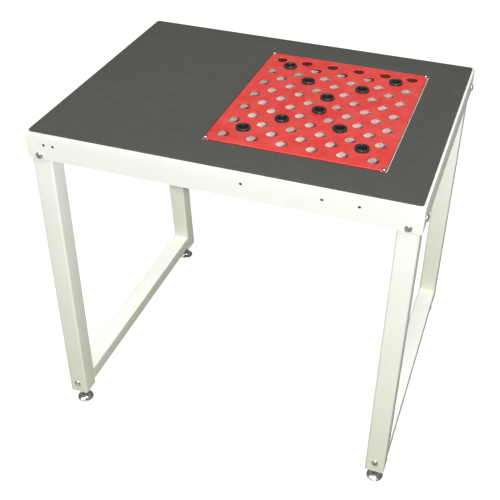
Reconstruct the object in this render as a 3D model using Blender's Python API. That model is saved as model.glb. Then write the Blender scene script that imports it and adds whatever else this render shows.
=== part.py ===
"""Welding table: a dark work mat on a white sheet-steel top, with a red perforated fixture plate,
on two bolted side frames whose legs splay fore and aft and stand on screw feet.

Units are metres and +Z is up. The origin is on the floor under the middle of the table,
+X runs along the width, and the front of the table faces -Y.
"""

import math

import bmesh
import bpy
from mathutils import Matrix, Vector

# Overall sizes
TABLE_WIDTH = 0.920
TABLE_DEPTH = 0.700
TABLE_HEIGHT = 0.857
GAP = 0.0003

# Top: mat, deck sheet and aprons
MAT_THICKNESS = 0.003
MAT_CORNER_RADIUS = 0.008
RIM_WIDTH = 0.006
DECK_THICKNESS = 0.003
DECK_CORNER_RADIUS = 0.003
APRON_DROP = 0.068
APRON_THICKNESS = 0.002
APRON_FLANGE = 0.025
APRON_HOLE_RADIUS = 0.0028
APRON_HOLE_DROP = 0.030
APRON_HOLE_OFFSETS = (0.045, 0.068, 0.522, 0.703, 0.784)

# Side frames
LEG_SIZE = 0.050
LEG_WALL = 0.0025
LEG_CORNER_RADIUS = 0.003
LEG_INSET_X = 0.005
LEG_INSET_Y = 0.005
LEG_SPLAY = math.radians(3.0)
LEG_CLEARANCE = 0.046
BOTTOM_RAIL_HEIGHT = 0.040
BOTTOM_RAIL_LIFT = 0.012
TOP_RAIL_HEIGHT = 0.040
RAIL_END_WALL = 0.006
CROSS_RAIL_SIZE = 0.030
CROSS_RAIL_WALL = 0.002

# Fixture plate and the tray that it stands in
HOLE_PITCH = 0.070
HOLE_COLUMNS = 6
HOLE_ROWS = 7
HOLE_RADIUS = 0.014
HOLE_SEGMENTS = 16
PLATE_THICKNESS = 0.004
PLATE_FLANGE_WALL = 0.002
PLATE_RISE = 0.002
PLATE_SIDE_MARGIN = 0.107
TRAY_WALL = 0.002
TRAY_DEPTH = 0.030
TRAY_FLANGE = 0.018
TRAY_POST = 0.012

# Bushings that stand in the fixture plate
BUSHING_COLLAR_WIDTH = 0.003
BUSHING_COLLAR_HEIGHT = 0.006
BUSHING_WALL = 0.0027
BUSHING_LENGTH = 0.024
BUSHING_CHAMFER = 0.001

# Screws
BOLT_HEAD_RADIUS = 0.00875
BOLT_HEAD_HEIGHT = 0.0052
BOLT_SHANK_RADIUS = 0.005
BOLT_SOCKET_RADIUS = 0.0034
BOLT_SOCKET_DEPTH = 0.003
APRON_BOLT_LENGTH = 0.016
RAIL_BOLT_REACH = 0.016
FRONT_BOLT_LIFT = 0.010
SIDE_BOLT_LIFT = 0.023
HEAD_CROWN_SHARE = 0.55
HEAD_SHOULDER_SHARE = 0.88
HEAD_SHOULDER_RISE = 0.62
HEAD_EDGE_RISE = 0.12
CORNER_SCREW_INSET = 0.0048
CORNER_SCREW_HEAD_RADIUS = 0.006
CORNER_SCREW_HEAD_HEIGHT = 0.0035
CORNER_SCREW_SHANK_RADIUS = 0.0025
CORNER_SCREW_SOCKET_RADIUS = 0.0016
CORNER_SCREW_SOCKET_DEPTH = 0.0014
CORNER_SCREW_LENGTH = 0.022

# Levelling feet
PAD_RADIUS = 0.022
PAD_RIM_HEIGHT = 0.004
PAD_NECK_RADIUS = 0.0105
PAD_HEIGHT = 0.013
PAD_SOCKET_DEPTH = 0.007
STEM_RADIUS = 0.006
STEM_UPWARD_TRAVEL = 0.006
STEM_HEX_RADIUS = 0.0098
STEM_HEX_HEIGHT = 0.008
STEM_HEX_LIFT = 0.002
NUT_RADIUS = 0.011
NUT_HEIGHT = 0.007
INSERT_TOP_SPACE = 0.001

# How finely round shapes are divided, and the tolerances used on meshes
ROUND_SEGMENTS = 12
PAD_SEGMENTS = 20
MAT_CORNER_SEGMENTS = 4
DECK_CORNER_SEGMENTS = 3
LEG_CORNER_SEGMENTS = 2
HEXAGON_STEP = math.radians(60.0)
SMOOTH_ANGLE = math.radians(35.0)
MERGE_DISTANCE = 1e-6
RADIUS_TOLERANCE = 1e-5
PARALLEL_COSINE = 0.99

# Heights that several pieces share
APRON_BOTTOM = TABLE_HEIGHT - APRON_DROP
DECK_TOP = TABLE_HEIGHT - MAT_THICKNESS - GAP
DECK_BOTTOM = DECK_TOP - DECK_THICKNESS
FLANGE_TOP = DECK_BOTTOM - GAP
FRAME_TOP = FLANGE_TOP - max(APRON_THICKNESS, TRAY_WALL) - GAP
PLATE_TOP = TABLE_HEIGHT + PLATE_RISE
TRAY_FLOOR = TABLE_HEIGHT - TRAY_DEPTH
BOTTOM_RAIL_MIDDLE = LEG_CLEARANCE + BOTTOM_RAIL_LIFT + BOTTOM_RAIL_HEIGHT / 2
RAIL_BOLT_FALL = LEG_SIZE * math.sin(LEG_SPLAY)
RAIL_BOLT_BOTTOM = BOTTOM_RAIL_MIDDLE - RAIL_BOLT_FALL - BOLT_SHANK_RADIUS - GAP
INSERT_TOP = RAIL_BOLT_BOTTOM - INSERT_TOP_SPACE
STEM_TOP = RAIL_BOLT_BOTTOM - INSERT_TOP_SPACE - STEM_UPWARD_TRAVEL

# Plan sizes that several pieces share
PLATE_WIDTH = HOLE_COLUMNS * HOLE_PITCH
PLATE_DEPTH = HOLE_ROWS * HOLE_PITCH
PLATE_X = TABLE_WIDTH / 2 - PLATE_SIDE_MARGIN - PLATE_WIDTH / 2
LEG_X = TABLE_WIDTH / 2 - LEG_INSET_X - LEG_SIZE / 2
TRAY_INNER_WIDTH = PLATE_WIDTH + 2 * GAP
TRAY_INNER_DEPTH = PLATE_DEPTH + 2 * GAP
TRAY_OUTER_WIDTH = TRAY_INNER_WIDTH + 2 * TRAY_WALL
TRAY_OUTER_DEPTH = TRAY_INNER_DEPTH + 2 * TRAY_WALL
OPENING_WIDTH = TRAY_OUTER_WIDTH + 2 * GAP
OPENING_DEPTH = TRAY_OUTER_DEPTH + 2 * GAP
RAIL_BOLT_LENGTH = LEG_SIZE + RAIL_BOLT_REACH

SIDES = (("left", -1), ("right", 1))
ENDS = (("front", -1), ("rear", 1))

# Bushings stand in the staggered holes: (name, column from the left, row from the rear)
BUSHING_PLACES = (
    ("rear_left", 0, 0),
    ("rear_right", 4, 0),
    ("upper_left", 1, 1),
    ("upper_right", 3, 1),
    ("middle_rear", 2, 2),
    ("middle_front", 2, 3),
    ("lower_left", 1, 4),
    ("lower_right", 3, 4),
    ("front_left", 0, 5),
    ("front_right", 4, 5),
)


def clear_scene():
    for scene_object in list(bpy.data.objects):
        bpy.data.objects.remove(scene_object, do_unlink=True)


def make_material(name, colour, roughness, metallic):
    material = bpy.data.materials.new(name)
    material.use_nodes = True
    shader = material.node_tree.nodes["Principled BSDF"]
    shader.inputs["Base Color"].default_value = (*colour, 1.0)
    shader.inputs["Roughness"].default_value = roughness
    shader.inputs["Metallic"].default_value = metallic
    return material


def make_materials():
    return {
        "paint": make_material("white_paint", (0.86, 0.87, 0.80), 0.45, 0.0),
        "mat": make_material("dark_mat", (0.08, 0.08, 0.07), 0.75, 0.0),
        "red": make_material("red_paint", (0.80, 0.06, 0.05), 0.40, 0.0),
        "black": make_material("black_bushing", (0.02, 0.02, 0.02), 0.45, 0.0),
        "steel": make_material("bright_steel", (0.75, 0.75, 0.73), 0.25, 1.0),
        "plug": make_material("grey_insert", (0.25, 0.25, 0.25), 0.50, 0.5),
    }


def add_object(name, mesh_source, material, location=(0.0, 0.0, 0.0), smooth=False):
    """Turn a bmesh into a named object and free the bmesh."""
    mesh = bpy.data.meshes.new(name)
    bmesh.ops.recalc_face_normals(mesh_source, faces=mesh_source.faces)
    mesh_source.to_mesh(mesh)
    mesh_source.free()
    if smooth:
        mesh.shade_smooth()
        mesh.set_sharp_from_angle(angle=SMOOTH_ANGLE)
    mesh.materials.append(material)
    new_object = bpy.data.objects.new(name, mesh)
    new_object.location = location
    bpy.context.scene.collection.objects.link(new_object)
    return new_object


def add_copy(name, original, location, rotation=(0.0, 0.0, 0.0)):
    """Place another object on the mesh of the original."""
    copy = bpy.data.objects.new(name, original.data)
    copy.location = location
    copy.rotation_euler = rotation
    bpy.context.scene.collection.objects.link(copy)
    return copy


def add_box(mesh_source, size, centre=(0.0, 0.0, 0.0)):
    """Add a box to a bmesh and return its vertices."""
    box = bmesh.ops.create_cube(mesh_source, size=1.0)
    bmesh.ops.scale(mesh_source, vec=size, verts=box["verts"])
    bmesh.ops.translate(mesh_source, vec=centre, verts=box["verts"])
    return box["verts"]


def box_shape(size, centre=(0.0, 0.0, 0.0)):
    shape = bmesh.new()
    add_box(shape, size, centre)
    return shape


def round_edges(shape, axis, radius, segments):
    """Bevel the edges that run along one axis (0, 1 or 2)."""
    edges = []
    for edge in shape.edges:
        along = edge.verts[1].co - edge.verts[0].co
        if abs(along[axis]) > PARALLEL_COSINE * along.length:
            edges.append(edge)
    bmesh.ops.bevel(shape, geom=edges, offset=radius, segments=segments, profile=0.5,
                    affect="EDGES", material=-1)


def turned_shape(profile, segments, closed=False):
    """Spin a profile of (radius, height) points about Z.

    An open profile runs from the axis to the axis. A closed one is a ring's section.
    """
    shape = bmesh.new()
    points = [shape.verts.new((radius, 0.0, height)) for radius, height in profile]
    edges = [shape.edges.new(pair) for pair in zip(points, points[1:])]
    if closed:
        edges.append(shape.edges.new((points[-1], points[0])))
    bmesh.ops.spin(shape, geom=points + edges, cent=(0.0, 0.0, 0.0), axis=(0.0, 0.0, 1.0),
                   angle=2.0 * math.pi, steps=segments, use_merge=True)
    bmesh.ops.remove_doubles(shape, verts=shape.verts, dist=MERGE_DISTANCE)
    return shape


def make_hexagonal(shape, radius):
    """Pull each round ring of this radius in to a hexagon with its corners on that radius."""
    half_step = HEXAGON_STEP / 2
    for vertex in shape.verts:
        distance = math.hypot(vertex.co.x, vertex.co.y)
        if abs(distance - radius) < RADIUS_TOLERANCE:
            angle = math.atan2(vertex.co.y, vertex.co.x) % HEXAGON_STEP
            factor = math.cos(half_step) / math.cos(angle - half_step)
            vertex.co.x *= factor
            vertex.co.y *= factor


def add_cylinder(shape, radius, start, end, segments):
    """Add a closed cylinder between two points to a bmesh."""
    start = Vector(start)
    end = Vector(end)
    turn = (end - start).to_track_quat("Z", "Y").to_matrix().to_4x4()
    place = Matrix.Translation((start + end) / 2) @ turn
    bmesh.ops.create_cone(shape, cap_ends=True, segments=segments, radius1=radius, radius2=radius,
                          depth=(end - start).length, matrix=place)


def cut(target, name, shape):
    """Subtract a shape, given in world space, from an object."""
    cutter = add_object(name, shape, target.data.materials[0])
    cutter.hide_render = True
    cutter.display_type = "WIRE"
    modifier = target.modifiers.new(name, "BOOLEAN")
    modifier.operation = "DIFFERENCE"
    modifier.solver = "EXACT"
    modifier.object = cutter


def leg_face_inset(height):
    """How far a leg's outer face stands in from the apron's face at this height."""
    return LEG_INSET_Y + math.tan(LEG_SPLAY) * (height - APRON_BOTTOM)


def leg_y(height):
    """Distance from the table's middle to a leg's centre line at this height."""
    return TABLE_DEPTH / 2 - leg_face_inset(height) - LEG_SIZE / 2


def lean_with_leg(vertices, end):
    """Shear points so that upright walls follow the legs at the front (-1) or rear (+1)."""
    for vertex in vertices:
        vertex.co.y += end * leg_y(vertex.co.z)


def build_mat(materials):
    size = (TABLE_WIDTH - 2 * RIM_WIDTH, TABLE_DEPTH - 2 * RIM_WIDTH, MAT_THICKNESS)
    shape = box_shape(size)
    round_edges(shape, 2, MAT_CORNER_RADIUS, MAT_CORNER_SEGMENTS)
    mat = add_object("work_mat", shape, materials["mat"],
                     (0.0, 0.0, TABLE_HEIGHT - MAT_THICKNESS / 2))
    cut(mat, "mat_opening", opening_shape())


def build_deck(materials):
    shape = box_shape((TABLE_WIDTH, TABLE_DEPTH, DECK_THICKNESS))
    round_edges(shape, 2, DECK_CORNER_RADIUS, DECK_CORNER_SEGMENTS)
    deck = add_object("deck_sheet", shape, materials["paint"],
                      (0.0, 0.0, DECK_TOP - DECK_THICKNESS / 2))
    cut(deck, "deck_opening", opening_shape())


def opening_shape():
    height = 4 * (MAT_THICKNESS + DECK_THICKNESS)
    return box_shape((OPENING_WIDTH, OPENING_DEPTH, height), (PLATE_X, 0.0, DECK_TOP))


def apron_shape(web_length, flange_length):
    """An angle section along X whose face is on Y = 0 and whose flange points to +Y."""
    web_height = FLANGE_TOP - APRON_BOTTOM
    shape = box_shape((web_length, APRON_THICKNESS, web_height),
                      (0.0, APRON_THICKNESS / 2, APRON_BOTTOM + web_height / 2))
    flange = shape_as_object("flange", box_shape(
        (flange_length, APRON_FLANGE - APRON_THICKNESS / 2, APRON_THICKNESS),
        (0.0, (APRON_FLANGE + APRON_THICKNESS / 2) / 2, FLANGE_TOP - APRON_THICKNESS / 2)))
    web = shape_as_object("web", shape)
    return joined_shape(web, flange)


def shape_as_object(name, shape):
    return add_object(name, shape, bpy.data.materials["white_paint"])


def joined_shape(first, second):
    """Unite two helper objects, remove them, and return the result as a bmesh."""
    modifier = first.modifiers.new("unite", "BOOLEAN")
    modifier.operation = "UNION"
    modifier.solver = "EXACT"
    modifier.object = second
    depsgraph = bpy.context.evaluated_depsgraph_get()
    shape = bmesh.new()
    shape.from_object(first, depsgraph)
    bpy.data.objects.remove(first, do_unlink=True)
    bpy.data.objects.remove(second, do_unlink=True)
    return shape


def build_aprons(materials):
    front_flange = TABLE_WIDTH - 2 * (APRON_THICKNESS + GAP)
    side_web = TABLE_DEPTH - 2 * (APRON_THICKNESS + GAP)
    side_flange = TABLE_DEPTH - 2 * (APRON_FLANGE + GAP)
    for end_name, end in ENDS:
        shape = apron_shape(TABLE_WIDTH, front_flange)
        bmesh.ops.translate(shape, vec=(0.0, -TABLE_DEPTH / 2, 0.0), verts=shape.verts)
        turn = Matrix.Rotation(0.0 if end < 0 else math.pi, 3, "Z")
        bmesh.ops.rotate(shape, cent=(0.0, 0.0, 0.0), matrix=turn, verts=shape.verts)
        apron = add_object(f"{end_name}_apron", shape, materials["paint"])
        cut(apron, f"{end_name}_apron_bolt_holes", front_bolt_holes(end))
        if end < 0:
            cut(apron, "front_apron_small_holes", small_apron_holes())
    for side_name, side in SIDES:
        shape = apron_shape(side_web, side_flange)
        bmesh.ops.translate(shape, vec=(0.0, -TABLE_WIDTH / 2, 0.0), verts=shape.verts)
        turn = Matrix.Rotation(side * math.pi / 2, 3, "Z")
        bmesh.ops.rotate(shape, cent=(0.0, 0.0, 0.0), matrix=turn, verts=shape.verts)
        apron = add_object(f"{side_name}_apron", shape, materials["paint"])
        cut(apron, f"{side_name}_apron_bolt_holes", side_bolt_holes(side))


def front_bolt_holes(end):
    """Holes for the two bolts through the front (-1) or rear (+1) apron into the legs."""
    shape = bmesh.new()
    for _, side in SIDES:
        start, direction = front_bolt_place(side, end)
        finish = start - direction * (APRON_BOLT_LENGTH + GAP)
        add_cylinder(shape, BOLT_SHANK_RADIUS + GAP, start + direction * GAP, finish,
                     ROUND_SEGMENTS)
    return shape


def side_bolt_holes(side):
    """Holes for the two bolts through the left (-1) or right (+1) apron into the legs."""
    shape = bmesh.new()
    for _, end in ENDS:
        start, direction = side_bolt_place(side, end)
        finish = start - direction * (APRON_BOLT_LENGTH + GAP)
        add_cylinder(shape, BOLT_SHANK_RADIUS + GAP, start + direction * GAP, finish,
                     ROUND_SEGMENTS)
    return shape


def small_apron_holes():
    shape = bmesh.new()
    height = TABLE_HEIGHT - APRON_HOLE_DROP
    for offset in APRON_HOLE_OFFSETS:
        x = offset - TABLE_WIDTH / 2
        add_cylinder(shape, APRON_HOLE_RADIUS, (x, -TABLE_DEPTH / 2 - APRON_THICKNESS, height),
                     (x, -TABLE_DEPTH / 2 + 2 * APRON_THICKNESS, height), ROUND_SEGMENTS)
    return shape


def front_bolt_place(side, end):
    """Where a front or rear apron bolt's head sits, and the way that its head points."""
    seat = Vector((side * LEG_X, end * (TABLE_DEPTH / 2 + GAP), APRON_BOTTOM + FRONT_BOLT_LIFT))
    return seat, Vector((0.0, end, 0.0))


def side_bolt_place(side, end):
    """Where a side apron bolt's head sits, and the way that its head points."""
    height = APRON_BOTTOM + SIDE_BOLT_LIFT
    seat = Vector((side * (TABLE_WIDTH / 2 + GAP), end * leg_y(height), height))
    return seat, Vector((side, 0.0, 0.0))


def rail_bolt_place(side, end):
    """Where a bottom rail bolt's head sits, square to the leg's leaning face."""
    face_y = TABLE_DEPTH / 2 - leg_face_inset(BOTTOM_RAIL_MIDDLE)
    direction = Vector((0.0, end * math.cos(LEG_SPLAY), math.sin(LEG_SPLAY)))
    seat = Vector((side * LEG_X, end * face_y, BOTTOM_RAIL_MIDDLE)) + direction * GAP
    return seat, direction


def rail_bolt_hole(side, end):
    shape = bmesh.new()
    start, direction = rail_bolt_place(side, end)
    add_cylinder(shape, BOLT_SHANK_RADIUS + GAP, start + direction * LEG_WALL,
                 start - direction * (RAIL_BOLT_LENGTH + GAP), ROUND_SEGMENTS)
    return shape


def build_legs(materials):
    length = FRAME_TOP - LEG_CLEARANCE
    for side_name, side in SIDES:
        for end_name, end in ENDS:
            name = f"{end_name}_{side_name}_leg"
            centre = (side * LEG_X, 0.0, LEG_CLEARANCE + length / 2)
            shape = box_shape((LEG_SIZE, LEG_SIZE, length), centre)
            round_edges(shape, 2, LEG_CORNER_RADIUS, LEG_CORNER_SEGMENTS)
            lean_with_leg(shape.verts, end)
            leg = add_object(name, shape, materials["paint"])
            bore_size = LEG_SIZE - 2 * LEG_WALL
            bore = box_shape((bore_size, bore_size, length + LEG_SIZE), centre)
            lean_with_leg(bore.verts, end)
            cut(leg, f"{name}_bore", bore)
            cut(leg, f"{name}_front_bolt_hole", front_bolt_holes(end))
            cut(leg, f"{name}_side_bolt_hole", side_bolt_holes(side))
            cut(leg, f"{name}_rail_bolt_hole", rail_bolt_hole(side, end))


def rail_shape(x, width, bottom, height, end_gap):
    """A solid bar along Y whose ends follow the leaning inner faces of the legs."""
    shape = box_shape((width, TABLE_DEPTH, height), (x, 0.0, bottom + height / 2))
    for vertex in shape.verts:
        reach = leg_y(vertex.co.z) - LEG_SIZE / 2 - end_gap
        vertex.co.y = math.copysign(reach, vertex.co.y)
    return shape


def build_bottom_rails(materials):
    bottom = LEG_CLEARANCE + BOTTOM_RAIL_LIFT
    for side_name, side in SIDES:
        name = f"{side_name}_bottom_rail"
        shape = rail_shape(side * LEG_X, LEG_SIZE, bottom, BOTTOM_RAIL_HEIGHT, GAP)
        rail = add_object(name, shape, materials["paint"])
        bore = rail_shape(side * LEG_X, LEG_SIZE - 2 * LEG_WALL, bottom + LEG_WALL,
                          BOTTOM_RAIL_HEIGHT - 2 * LEG_WALL, RAIL_END_WALL)
        cut(rail, f"{name}_bore", bore)
        for end_name, end in ENDS:
            cut(rail, f"{name}_{end_name}_bolt_hole", rail_bolt_hole(side, end))


def build_top_rails(materials):
    bottom = FRAME_TOP - TOP_RAIL_HEIGHT
    for side_name, side in SIDES:
        name = f"{side_name}_top_rail"
        shape = rail_shape(side * LEG_X, LEG_SIZE, bottom, TOP_RAIL_HEIGHT, GAP)
        rail = add_object(name, shape, materials["paint"])
        bore = rail_shape(side * LEG_X, LEG_SIZE - 2 * LEG_WALL, bottom + LEG_WALL,
                          TOP_RAIL_HEIGHT - 2 * LEG_WALL, -LEG_SIZE)
        cut(rail, f"{name}_bore", bore)


def build_cross_rails(materials):
    """Square tubes just inside the front and rear aprons, from one side frame to the other."""
    length = 2 * (LEG_X - LEG_SIZE / 2 - GAP)
    bore_size = CROSS_RAIL_SIZE - 2 * CROSS_RAIL_WALL
    height = FRAME_TOP - CROSS_RAIL_SIZE / 2
    reach = TABLE_DEPTH / 2 - APRON_THICKNESS - GAP - CROSS_RAIL_SIZE / 2
    for end_name, end in ENDS:
        name = f"{end_name}_cross_rail"
        centre = (0.0, end * reach, height)
        rail = add_object(name, box_shape((length, CROSS_RAIL_SIZE, CROSS_RAIL_SIZE), centre),
                          materials["paint"])
        cut(rail, f"{name}_bore", box_shape((length + LEG_SIZE, bore_size, bore_size), centre))


def square_hole_places():
    """Centres of the holes on the main grid."""
    places = []
    for column in range(HOLE_COLUMNS):
        for row in range(HOLE_ROWS):
            x = PLATE_X + (column - (HOLE_COLUMNS - 1) / 2) * HOLE_PITCH
            y = ((HOLE_ROWS - 1) / 2 - row) * HOLE_PITCH
            places.append((x, y))
    return places


def staggered_hole_place(column, row):
    """Centre of a hole on the grid that lies half a pitch between the main holes."""
    x = PLATE_X + (column + 1 - HOLE_COLUMNS / 2) * HOLE_PITCH
    y = (HOLE_ROWS / 2 - 1 - row) * HOLE_PITCH
    return x, y


def hole_places():
    places = square_hole_places()
    for column in range(HOLE_COLUMNS - 1):
        for row in range(HOLE_ROWS - 1):
            places.append(staggered_hole_place(column, row))
    return places


def corner_places(inset):
    """The fixture plate's four corners, moved in by an inset."""
    places = []
    for end_name, end in ENDS:
        for side_name, side in SIDES:
            x = PLATE_X + side * (PLATE_WIDTH / 2 - inset)
            y = end * (PLATE_DEPTH / 2 - inset)
            places.append((f"{end_name}_{side_name}", x, y))
    return places


def build_fixture_plate(materials):
    """A red plate with turned-down edges that stand on the tray's floor."""
    bottom = TRAY_FLOOR + GAP
    height = PLATE_TOP - bottom
    shape = box_shape((PLATE_WIDTH, PLATE_DEPTH, height), (PLATE_X, 0.0, bottom + height / 2))
    plate = add_object("fixture_plate", shape, materials["red"])
    wall = 2 * PLATE_FLANGE_WALL
    hollow_height = height - PLATE_THICKNESS
    cut_bottom = bottom - PLATE_THICKNESS
    cut_height = hollow_height + PLATE_THICKNESS
    middle = cut_bottom + cut_height / 2
    cut(plate, "plate_hollow", box_shape((PLATE_WIDTH - wall, PLATE_DEPTH - wall, cut_height),
                                         (PLATE_X, 0.0, middle)))
    notch = TRAY_POST + 2 * GAP
    notches = bmesh.new()
    for _, x, y in corner_places(0.0):
        add_box(notches, (2 * notch, 2 * notch, cut_height), (x, y, middle))
    cut(plate, "plate_corner_notches", notches)
    holes = bmesh.new()
    for x, y in hole_places():
        add_cylinder(holes, HOLE_RADIUS, (x, y, PLATE_TOP - 2 * PLATE_THICKNESS),
                     (x, y, PLATE_TOP + PLATE_THICKNESS), HOLE_SEGMENTS)
    for _, x, y in corner_places(CORNER_SCREW_INSET):
        add_cylinder(holes, CORNER_SCREW_SHANK_RADIUS + GAP,
                     (x, y, PLATE_TOP - 2 * PLATE_THICKNESS),
                     (x, y, PLATE_TOP + PLATE_THICKNESS), ROUND_SEGMENTS)
    cut(plate, "plate_holes", holes)


def build_tray(materials):
    """A white pan hung in the opening, with a post in each corner for the plate's screws."""
    bottom = TRAY_FLOOR - TRAY_WALL
    height = TABLE_HEIGHT - bottom
    pan = shape_as_object("pan", box_shape((TRAY_OUTER_WIDTH, TRAY_OUTER_DEPTH, height),
                                           (PLATE_X, 0.0, bottom + height / 2)))
    lip = shape_as_object("lip", box_shape(
        (TRAY_OUTER_WIDTH + 2 * TRAY_FLANGE, TRAY_OUTER_DEPTH + 2 * TRAY_FLANGE, TRAY_WALL),
        (PLATE_X, 0.0, FLANGE_TOP - TRAY_WALL / 2)))
    tray = add_object("plate_tray", joined_shape(pan, lip), materials["paint"])
    cut_height = TRAY_DEPTH + TRAY_WALL
    middle = TRAY_FLOOR + cut_height / 2
    posts = 2 * TRAY_POST
    cut(tray, "tray_hollow_along", box_shape(
        (TRAY_INNER_WIDTH, TRAY_INNER_DEPTH - posts, cut_height), (PLATE_X, 0.0, middle)))
    cut(tray, "tray_hollow_across", box_shape(
        (TRAY_INNER_WIDTH - posts, TRAY_INNER_DEPTH, cut_height), (PLATE_X, 0.0, middle)))
    post_top = PLATE_TOP - PLATE_THICKNESS - GAP
    above = TABLE_HEIGHT + TRAY_WALL - post_top
    cut(tray, "tray_post_tops", box_shape((TRAY_INNER_WIDTH, TRAY_INNER_DEPTH, above),
                                          (PLATE_X, 0.0, post_top + above / 2)))
    holes = bmesh.new()
    for _, x, y in corner_places(CORNER_SCREW_INSET):
        add_cylinder(holes, CORNER_SCREW_SHANK_RADIUS + GAP,
                     (x, y, PLATE_TOP - CORNER_SCREW_LENGTH - GAP),
                     (x, y, PLATE_TOP), ROUND_SEGMENTS)
    cut(tray, "tray_screw_holes", holes)


def screw_shape(head_radius, head_height, shank_radius, length, socket_radius, socket_depth):
    """A domed screw with a hexagon socket: head above Z = 0, shank below."""
    shape = turned_shape((
        (0.0, head_height - socket_depth),
        (socket_radius, head_height - socket_depth),
        (socket_radius, head_height),
        (head_radius * HEAD_CROWN_SHARE, head_height),
        (head_radius * HEAD_SHOULDER_SHARE, head_height * HEAD_SHOULDER_RISE),
        (head_radius, head_height * HEAD_EDGE_RISE),
        (head_radius, 0.0),
        (shank_radius, 0.0),
        (shank_radius, -length),
        (0.0, -length),
    ), ROUND_SEGMENTS)
    make_hexagonal(shape, socket_radius)
    return shape


def place_screws(places, shape, materials):
    """Place copies of one screw: each has a name, a seat and the way that its head points."""
    first = None
    for name, seat, direction in places:
        rotation = direction.to_track_quat("Z", "Y").to_euler()
        if first is None:
            first = add_object(name, shape, materials["steel"], seat, smooth=True)
            first.rotation_euler = rotation
        else:
            add_copy(name, first, seat, rotation)


def build_bolts(materials):
    apron_bolts = []
    rail_bolts = []
    for end_name, end in ENDS:
        for side_name, side in SIDES:
            corner = f"{end_name}_{side_name}"
            apron_bolts.append((f"{corner}_apron_bolt", *front_bolt_place(side, end)))
            apron_bolts.append((f"{corner}_side_bolt", *side_bolt_place(side, end)))
            rail_bolts.append((f"{corner}_rail_bolt", *rail_bolt_place(side, end)))
    head = (BOLT_HEAD_RADIUS, BOLT_HEAD_HEIGHT, BOLT_SHANK_RADIUS)
    socket = (BOLT_SOCKET_RADIUS, BOLT_SOCKET_DEPTH)
    place_screws(apron_bolts, screw_shape(*head, APRON_BOLT_LENGTH, *socket), materials)
    place_screws(rail_bolts, screw_shape(*head, RAIL_BOLT_LENGTH, *socket), materials)


def build_corner_screws(materials):
    up = Vector((0.0, 0.0, 1.0))
    screws = []
    for corner, x, y in corner_places(CORNER_SCREW_INSET):
        screws.append((f"{corner}_plate_screw", Vector((x, y, PLATE_TOP + GAP)), up))
    shape = screw_shape(CORNER_SCREW_HEAD_RADIUS, CORNER_SCREW_HEAD_HEIGHT,
                        CORNER_SCREW_SHANK_RADIUS, CORNER_SCREW_LENGTH,
                        CORNER_SCREW_SOCKET_RADIUS, CORNER_SCREW_SOCKET_DEPTH)
    place_screws(screws, shape, materials)


def build_bushings(materials):
    """Loose black sleeves with a collar that stands on the plate."""
    body_radius = HOLE_RADIUS - GAP
    bore_radius = body_radius - BUSHING_WALL
    collar_radius = HOLE_RADIUS + BUSHING_COLLAR_WIDTH
    collar_bottom = GAP
    collar_top = collar_bottom + BUSHING_COLLAR_HEIGHT
    shape = turned_shape((
        (bore_radius, collar_top - BUSHING_LENGTH),
        (body_radius, collar_top - BUSHING_LENGTH),
        (body_radius, collar_bottom),
        (collar_radius, collar_bottom),
        (collar_radius, collar_top - BUSHING_CHAMFER),
        (collar_radius - BUSHING_CHAMFER, collar_top),
        (bore_radius + BUSHING_CHAMFER, collar_top),
        (bore_radius, collar_top - BUSHING_CHAMFER),
    ), HOLE_SEGMENTS, closed=True)
    first = None
    for place_name, column, row in BUSHING_PLACES:
        x, y = staggered_hole_place(column, row)
        name = f"bushing_{place_name}"
        if first is None:
            first = add_object(name, shape, materials["black"], (x, y, PLATE_TOP), smooth=True)
        else:
            add_copy(name, first, (x, y, PLATE_TOP))


def foot_places():
    """Each foot's name and its place on the floor, under the middle of its leg's end."""
    places = []
    for end_name, end in ENDS:
        for side_name, side in SIDES:
            places.append((f"{end_name}_{side_name}", side * LEG_X,
                           end * leg_y(LEG_CLEARANCE)))
    return places


def pad_shape():
    """A round pad with a sloping top and a socket for the end of the stem."""
    socket_radius = STEM_RADIUS + GAP
    socket_floor = PAD_HEIGHT - PAD_SOCKET_DEPTH
    return turned_shape((
        (0.0, socket_floor),
        (socket_radius, socket_floor),
        (socket_radius, PAD_HEIGHT),
        (PAD_NECK_RADIUS, PAD_HEIGHT),
        (PAD_NECK_RADIUS, PAD_HEIGHT - PAD_RIM_HEIGHT / 2),
        (PAD_RADIUS, PAD_RIM_HEIGHT),
        (PAD_RADIUS, 0.0),
        (0.0, 0.0),
    ), PAD_SEGMENTS)


def stem_shape():
    """A threaded stem with a hexagon for the wrench just above the pad."""
    hex_bottom = PAD_HEIGHT + STEM_HEX_LIFT
    hex_top = hex_bottom + STEM_HEX_HEIGHT
    bottom = PAD_HEIGHT - PAD_SOCKET_DEPTH + GAP
    shape = turned_shape((
        (0.0, STEM_TOP),
        (STEM_RADIUS, STEM_TOP),
        (STEM_RADIUS, hex_top),
        (STEM_HEX_RADIUS, hex_top),
        (STEM_HEX_RADIUS, hex_bottom),
        (STEM_RADIUS, hex_bottom),
        (STEM_RADIUS, bottom),
        (0.0, bottom),
    ), ROUND_SEGMENTS)
    make_hexagonal(shape, STEM_HEX_RADIUS)
    return shape


def nut_shape():
    """A lock nut that is turned up against the leg's end."""
    top = LEG_CLEARANCE - GAP
    bottom = top - NUT_HEIGHT
    bore_radius = STEM_RADIUS + GAP
    shape = turned_shape((
        (bore_radius, bottom),
        (NUT_RADIUS, bottom),
        (NUT_RADIUS, top),
        (bore_radius, top),
    ), ROUND_SEGMENTS, closed=True)
    make_hexagonal(shape, NUT_RADIUS)
    return shape


def build_feet(materials):
    shapes = (("foot_pad", pad_shape()), ("foot_stem", stem_shape()), ("lock_nut", nut_shape()))
    for part_name, shape in shapes:
        first = None
        for corner, x, y in foot_places():
            name = f"{corner}_{part_name}"
            if first is None:
                first = add_object(name, shape, materials["steel"], (x, y, 0.0), smooth=True)
            else:
                add_copy(name, first, (x, y, 0.0))


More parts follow.
